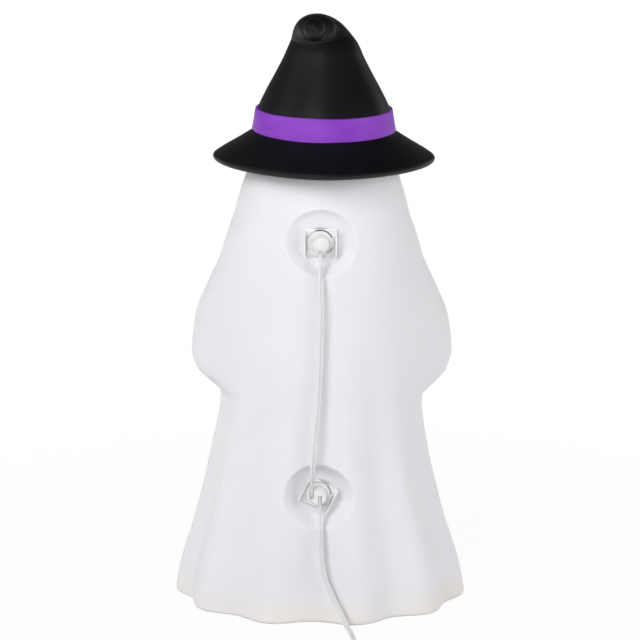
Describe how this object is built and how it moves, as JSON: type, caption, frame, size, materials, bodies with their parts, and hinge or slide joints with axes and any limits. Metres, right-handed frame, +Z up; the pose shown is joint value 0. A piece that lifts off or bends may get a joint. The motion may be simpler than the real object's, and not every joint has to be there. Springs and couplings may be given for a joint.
{
  "type": "blow mold ghost",
  "caption": "Hollow blow-moulded ghost in a lift-off witch hat, lit from inside by snap-in lamp holders in its back, with a flat twin cord and plug.",
  "frame": {"origin": "on the floor, in the middle of the gown's hem", "axes": "+Z up, the face looks along -Y, the lamp holders and the cord are on the back, +Y"},
  "size_m": [0.3006, 0.4062, 0.6103],
  "materials": {
    "gown_skin": "satin, slightly translucent white polyethylene",
    "hat_black": "satin black paint on the moulded hat",
    "band_purple": "satin purple paint",
    "holder_plastic": "moulded white",
    "plate_plastic": "clear-white, translucent",
    "cap_plastic": "glossy clear-white",
    "brass": "plain",
    "bulb_glass": "clear",
    "filament_wire": "plain wire and glass press",
    "cord_jacket": "clear vinyl over bright strands",
    "tie_white": "plain",
    "plug_plastic": "moulded, clear-white"
  },
  "bodies": {
    "gown": {"gown_shell": "gown_skin", "jumper_cord": "cord_jacket", "lead_cord": "cord_jacket", "lead_coil": "cord_jacket", "coil_tie": "tie_white", "plug_body": "plug_plastic", "plug_blade_narrow": "brass", "plug_blade_wide": "brass"},
    "hat": {"hat_shell": "hat_black", "hat_band": "band_purple"},
    "upper_lamp": {"upper_holder_barrel": "holder_plastic", "upper_retaining_plate": "plate_plastic", "upper_end_cap": "cap_plastic", "upper_centre_contact": "brass", "upper_screw_shell": "brass"},
    "upper_bulb": {"upper_bulb_contact": "brass", "upper_bulb_base": "brass", "upper_bulb_glass": "bulb_glass", "upper_filament_mount": "filament_wire"},
    "lower_lamp": {"lower_holder_barrel": "holder_plastic", "lower_retaining_plate": "plate_plastic", "lower_end_cap": "cap_plastic", "lower_centre_contact": "brass", "lower_screw_shell": "brass"},
    "lower_bulb": {"lower_bulb_contact": "brass", "lower_bulb_base": "brass", "lower_bulb_glass": "bulb_glass", "lower_filament_mount": "filament_wire"}
  },
  "joints": [
    {"name": "hat_lift", "type": "slide", "parent": "gown", "child": "hat", "axis": [0, 0, 1], "range_m": [0, 0.16]},
    {"name": "upper_lamp_pull", "type": "slide", "parent": "gown", "child": "upper_lamp", "axis": [0, 1, 0], "range_m": [0, 0.09], "deforming": ["jumper_cord"]},
    {"name": "upper_bulb_unscrew", "type": "slide", "parent": "upper_lamp", "child": "upper_bulb", "axis": [0, -1, 0], "range_m": [0, 0.03]},
    {"name": "lower_lamp_pull", "type": "slide", "parent": "gown", "child": "lower_lamp", "axis": [0, 1, 0], "range_m": [0, 0.09], "deforming": ["jumper_cord", "lead_cord"]},
    {"name": "lower_bulb_unscrew", "type": "slide", "parent": "lower_lamp", "child": "lower_bulb", "axis": [0, -1, 0], "range_m": [0, 0.03]}
  ]
}
